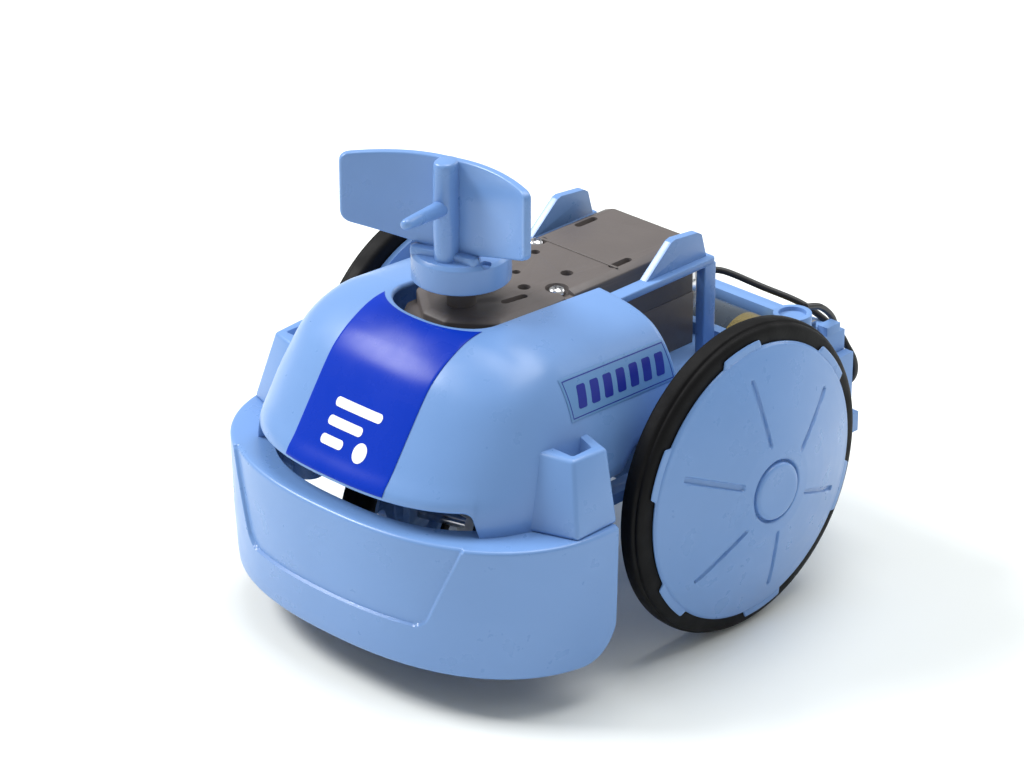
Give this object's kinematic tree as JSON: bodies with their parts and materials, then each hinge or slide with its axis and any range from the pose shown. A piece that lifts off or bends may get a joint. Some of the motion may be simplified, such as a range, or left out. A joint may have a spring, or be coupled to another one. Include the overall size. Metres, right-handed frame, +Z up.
{
  "type": "two wheel robot car",
  "caption": "Two-wheel robot car with large disc wheels, a dome cover and front bumper, and a swivelling driven wheel unit that turns a paddle on top.",
  "frame": {"origin": "floor level, at the centre of the bounding box", "axes": "+Z up, front towards -Y, the wheel axle runs along X"},
  "size_m": [0.0978, 0.1084, 0.0913],
  "materials": {
    "blue_plastic": "light blue semi-gloss moulded plastic",
    "stripe_film": "dark blue glossy film",
    "label_film": "blue film label with a dark border",
    "grey_plastic": "warm grey matte moulded plastic",
    "steel": "bright plated steel",
    "white_plastic": "natural white nylon",
    "brass": "bright brass",
    "black_rubber": "matte black rubber",
    "black_plastic": "black moulded plastic",
    "black_lead": "black vinyl insulation",
    "red_lead": "red vinyl insulation",
    "cell_sleeve": "plain dark printed sleeve, no text"
  },
  "bodies": {
    "chassis": {"chassis": "blue_plastic", "front_bumper": "blue_plastic", "dome_cover": "blue_plastic", "stripe_decal": "stripe_film", "side_label_left": "label_film", "side_label_right": "label_film", "gearbox_lower_case": "grey_plastic", "gearbox_upper_case": "grey_plastic", "case_screws": "steel", "tower_screws": "steel", "deck_screws": "steel", "gear_arbor": "steel", "motor_can": "steel", "motor_end_bell": "white_plastic", "motor_terminals": "brass", "main_axle": "steel", "axle_collars": "steel", "battery_holder": "blue_plastic", "battery_cell": "cell_sleeve", "battery_contacts": "steel", "battery_spring": "steel", "switch_base": "black_plastic", "motor_lead_black": "black_lead", "motor_lead_red": "red_lead", "switch_lead": "red_lead"},
    "drive_unit": {"swivel_frame": "blue_plastic", "spindle": "steel", "direction_cap": "blue_plastic", "direction_paddle": "blue_plastic"},
    "drive_wheels": {"drive_axle": "steel", "axle_crown_gear": "white_plastic", "drive_hub_left": "blue_plastic", "drive_hub_right": "blue_plastic", "drive_tyre_left": "black_rubber", "drive_tyre_right": "black_rubber"},
    "output_shaft": {"output_gear": "white_plastic", "drive_pinion": "white_plastic"},
    "third_gear": {"third_gear": "white_plastic"},
    "second_gear": {"second_gear": "white_plastic"},
    "crown_gear": {"crown_gear": "white_plastic"},
    "motor_pinion": {"motor_pinion": "brass"},
    "wheel_left": {"wheel_disc_left": "blue_plastic", "wheel_back_left": "blue_plastic", "tyre_left": "black_rubber"},
    "wheel_right": {"wheel_disc_right": "blue_plastic", "wheel_back_right": "blue_plastic", "tyre_right": "black_rubber"},
    "switch_lever": {"switch_lever": "white_plastic"}
  },
  "joints": [
    {"name": "swivel", "type": "hinge", "parent": "chassis", "child": "drive_unit", "pos_m": [0, -0.01895, 0.037], "axis": [0, 0, 1], "continuous": true},
    {"name": "drive_wheel_spin", "type": "hinge", "parent": "drive_unit", "child": "drive_wheels", "pos_m": [0, -0.01895, 0.018], "axis": [0.9659, 0.2588, 0], "continuous": true},
    {"name": "output_spin", "type": "hinge", "parent": "chassis", "child": "output_shaft", "pos_m": [0, -0.01895, 0.044], "axis": [0, 0, 1], "continuous": true},
    {"name": "third_gear_spin", "type": "hinge", "parent": "chassis", "child": "third_gear", "pos_m": [0, -0.00735, 0.046], "axis": [0, 0, 1], "continuous": true},
    {"name": "second_gear_spin", "type": "hinge", "parent": "chassis", "child": "second_gear", "pos_m": [0, -0.01895, 0.057], "axis": [0, 0, 1], "continuous": true},
    {"name": "crown_gear_spin", "type": "hinge", "parent": "chassis", "child": "crown_gear", "pos_m": [0, -0.00735, 0.055], "axis": [0, 0, 1], "continuous": true},
    {"name": "motor_spin", "type": "hinge", "parent": "chassis", "child": "motor_pinion", "pos_m": [0, 0.00425, 0.0515], "axis": [0, 1, 0], "continuous": true},
    {"name": "wheel_left_spin", "type": "hinge", "parent": "chassis", "child": "wheel_left", "pos_m": [-0.04, 0.01225, 0.03], "axis": [1, 0, 0], "continuous": true},
    {"name": "wheel_right_spin", "type": "hinge", "parent": "chassis", "child": "wheel_right", "pos_m": [0.04, 0.01225, 0.03], "axis": [1, 0, 0], "continuous": true},
    {"name": "switch_slide", "type": "slide", "parent": "chassis", "child": "switch_lever", "axis": [0, 1, 0], "range_m": [0, 0.0024]}
  ],
  "couplings": [
    {"joint": "output_spin", "follows": "drive_wheel_spin", "ratio": -2},
    {"joint": "third_gear_spin", "follows": "drive_wheel_spin", "ratio": 6},
    {"joint": "second_gear_spin", "follows": "drive_wheel_spin", "ratio": -18},
    {"joint": "crown_gear_spin", "follows": "drive_wheel_spin", "ratio": 54},
    {"joint": "motor_spin", "follows": "drive_wheel_spin", "ratio": -202.5}
  ]
}
